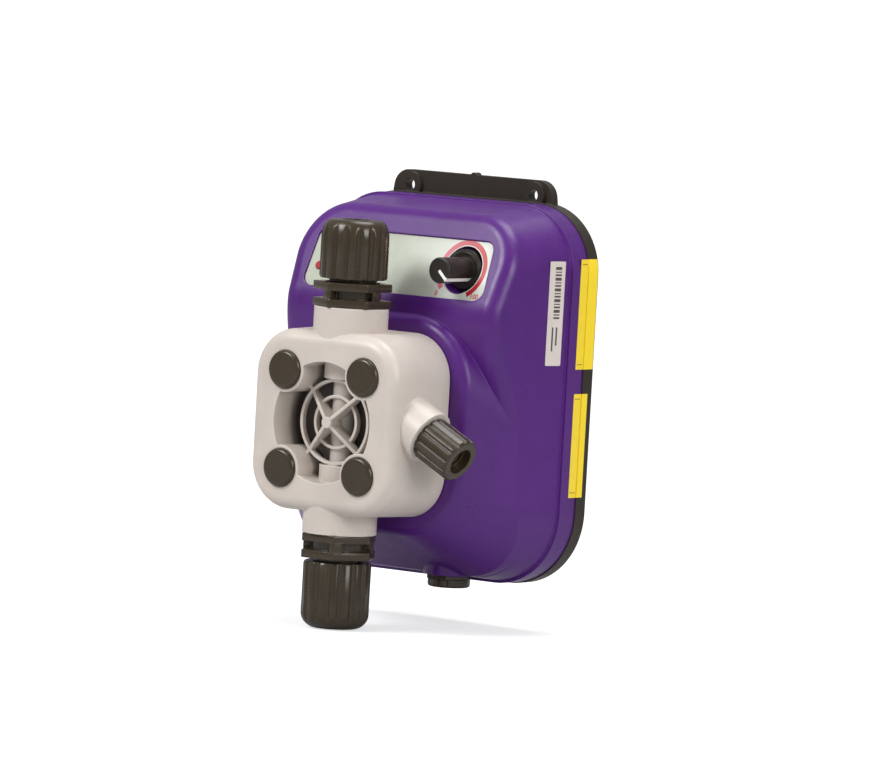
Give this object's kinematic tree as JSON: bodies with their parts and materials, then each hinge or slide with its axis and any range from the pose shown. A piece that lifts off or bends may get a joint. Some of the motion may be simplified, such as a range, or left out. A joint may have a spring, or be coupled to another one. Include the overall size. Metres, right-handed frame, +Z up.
{
  "type": "diaphragm metering pump",
  "caption": "Wall-mounted solenoid diaphragm dosing pump: sculpted housing with control panel and knob, plastic head with ball valves, hose unions above and below and an angled bleed union.",
  "frame": {"origin": "on the wall plane, in the middle of the pump's width, at the height of the diaphragm axis", "axes": "+X to the right seen from the front, +Y into the wall (the front faces -Y), +Z up"},
  "size_m": [0.1372, 0.106, 0.1996],
  "materials": {
    "housing_purple": "satin moulded",
    "head_grey": "satin moulded",
    "black_plastic": "satin moulded",
    "casing_black": "fine textured",
    "panel_film": "gloss film",
    "lamp_red": "clear red",
    "board_green": "lacquered",
    "pot_blue": "smooth",
    "capacitor_sleeve": "smooth",
    "terminal_green": "smooth",
    "zinc_steel": "zinc plated",
    "stainless": "machined",
    "soft_iron": "nickel plated",
    "can_steel": "black oxide",
    "copper_wire": "enamelled",
    "bush_brass": "machined",
    "seal_rubber": "matt",
    "viton": "matt",
    "diaphragm_ptfe": "smooth",
    "ball_ceramic": "polished",
    "seat_grey": "machined"
  },
  "bodies": {
    "pump_body": {"front_housing": "housing_purple", "rear_casing": "casing_black", "housing_gasket": "seal_rubber", "case_screws": "stainless", "control_panel": "panel_film", "status_lamp": "lamp_red", "circuit_board": "board_green", "board_screws": "zinc_steel", "potentiometer": "pot_blue", "board_capacitors": "capacitor_sleeve", "terminal_block": "terminal_green", "gland_body": "black_plastic", "gland_locknut": "black_plastic", "gland_seal": "seal_rubber", "gland_nut": "black_plastic", "pump_head": "head_grey", "head_bolts": "stainless", "head_washers": "stainless", "bolt_caps": "black_plastic", "discharge_valve_body": "black_plastic", "discharge_seat": "seat_grey", "discharge_oring": "viton", "discharge_nipple": "head_grey", "suction_valve_body": "black_plastic", "suction_seat": "seat_grey", "suction_oring": "viton", "suction_nipple": "head_grey", "bleed_spindle": "black_plastic", "bleed_oring": "viton", "head_adapter": "head_grey", "mounting_flange": "zinc_steel", "flange_screws": "zinc_steel", "diaphragm": "diaphragm_ptfe", "return_spring": "stainless", "pole_piece": "soft_iron", "guide_bush_front": "bush_brass", "guide_bush_rear": "bush_brass", "armature_bumper": "seal_rubber", "coil_bobbin": "seat_grey", "coil_winding": "copper_wire", "magnet_can": "can_steel"},
    "knob": {"adjust_knob": "black_plastic", "pot_shaft": "stainless"},
    "plunger": {"armature": "soft_iron", "push_rod": "stainless", "diaphragm_plate": "stainless"},
    "discharge_ball_body": {"discharge_ball": "ball_ceramic"},
    "suction_ball_body": {"suction_ball": "ball_ceramic"},
    "discharge_clamp": {"discharge_ferrule": "seat_grey"},
    "discharge_union": {"discharge_nut": "black_plastic"},
    "suction_clamp": {"suction_ferrule": "seat_grey"},
    "suction_union": {"suction_nut": "black_plastic"},
    "bleed_clamp": {"bleed_ferrule": "seat_grey"},
    "bleed_union": {"bleed_nut": "black_plastic"}
  },
  "joints": [
    {"name": "knob_turn", "type": "hinge", "parent": "pump_body", "child": "knob", "pos_m": [0.0344, -0.06, 0.0688], "axis": [0, -1, 0], "range_deg": [0, 270]},
    {"name": "plunger_stroke", "type": "slide", "parent": "pump_body", "child": "plunger", "axis": [0, -1, 0], "range_m": [0, 0.00125], "stiffness_N_per_m": 2000, "springref_m": -0.004, "deforming": ["return_spring", "diaphragm"]},
    {"name": "discharge_ball_lift", "type": "slide", "parent": "pump_body", "child": "discharge_ball_body", "axis": [0, 0, 1], "range_m": [0, 0.0016]},
    {"name": "suction_ball_lift", "type": "slide", "parent": "pump_body", "child": "suction_ball_body", "axis": [0, 0, 1], "range_m": [0, 0.0016]},
    {"name": "discharge_nut_travel", "type": "slide", "parent": "pump_body", "child": "discharge_clamp", "axis": [0, 0, 1], "range_m": [0, 0.00363]},
    {"name": "discharge_nut_turn", "type": "hinge", "parent": "discharge_clamp", "child": "discharge_union", "pos_m": [0, -0.087, 0.075], "axis": [0, 0, 1], "range_deg": [0, 720]},
    {"name": "suction_nut_travel", "type": "slide", "parent": "pump_body", "child": "suction_clamp", "axis": [0, 0, -1], "range_m": [0, 0.00363]},
    {"name": "suction_nut_turn", "type": "hinge", "parent": "suction_clamp", "child": "suction_union", "pos_m": [0, -0.087, -0.076], "axis": [0, 0, -1], "range_deg": [0, 720]},
    {"name": "bleed_nut_travel", "type": "slide", "parent": "pump_body", "child": "bleed_clamp", "axis": [0.891, 0, -0.454], "range_m": [0, 0.003]},
    {"name": "bleed_nut_turn", "type": "hinge", "parent": "bleed_clamp", "child": "bleed_union", "pos_m": [0.05524, -0.087, -0.00715], "axis": [0.891, 0, -0.454], "range_deg": [0, 720]}
  ],
  "couplings": [
    {"joint": "discharge_nut_turn", "follows": "discharge_nut_travel", "rad_per_m": 3463.7},
    {"joint": "suction_nut_turn", "follows": "suction_nut_travel", "rad_per_m": 3463.7},
    {"joint": "bleed_nut_turn", "follows": "bleed_nut_travel", "rad_per_m": 4188.8}
  ]
}
